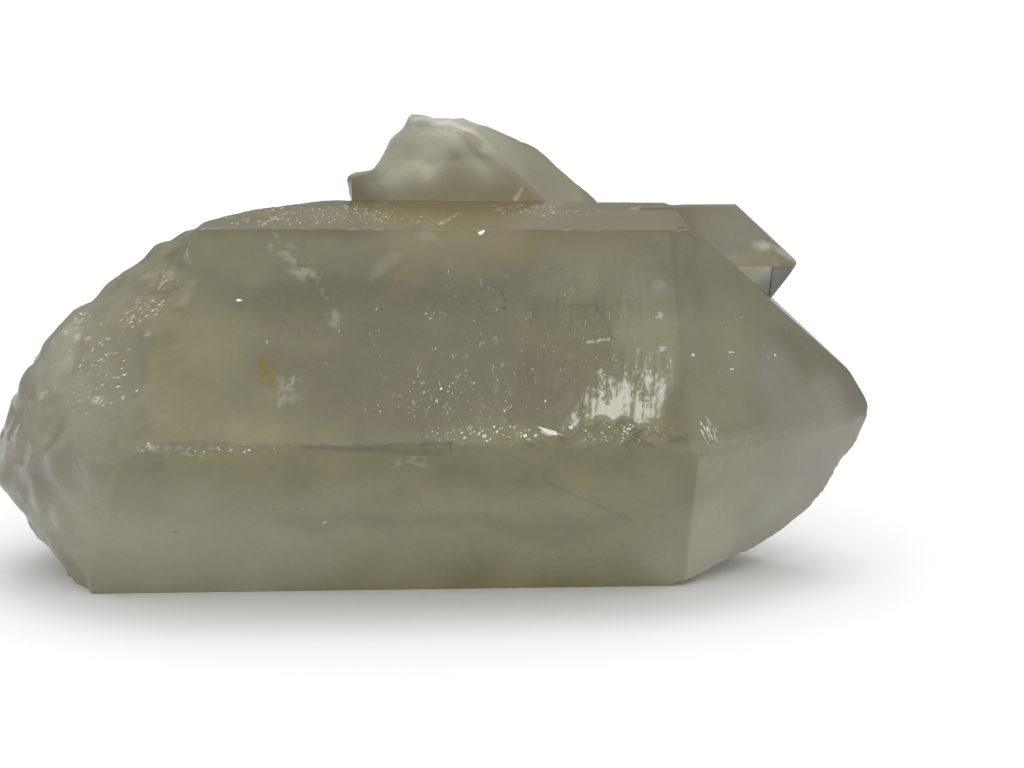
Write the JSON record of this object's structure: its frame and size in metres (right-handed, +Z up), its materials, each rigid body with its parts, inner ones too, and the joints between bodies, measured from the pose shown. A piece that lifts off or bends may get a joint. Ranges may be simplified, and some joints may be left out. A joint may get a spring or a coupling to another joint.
{
  "type": "quartz crystal",
  "caption": "Natural quartz point lying on a prism face, one end a six-sided point, the other broken, with two smaller points grown along its top.",
  "frame": {"origin": "middle of the flat underneath of the group's bounding box, on the surface it lies on", "axes": "+X along the crystals towards their points, +Z up, -Y the front, where two prism faces meet in a level edge"},
  "size_m": [0.181, 0.0826, 0.0911],
  "materials": {
    "quartz": "grey-green to smoky see-through quartz, glossy faces, frosted where broken"
  },
  "bodies": {
    "root": {"quartz_crystal": "quartz"}
  },
  "joints": []
}
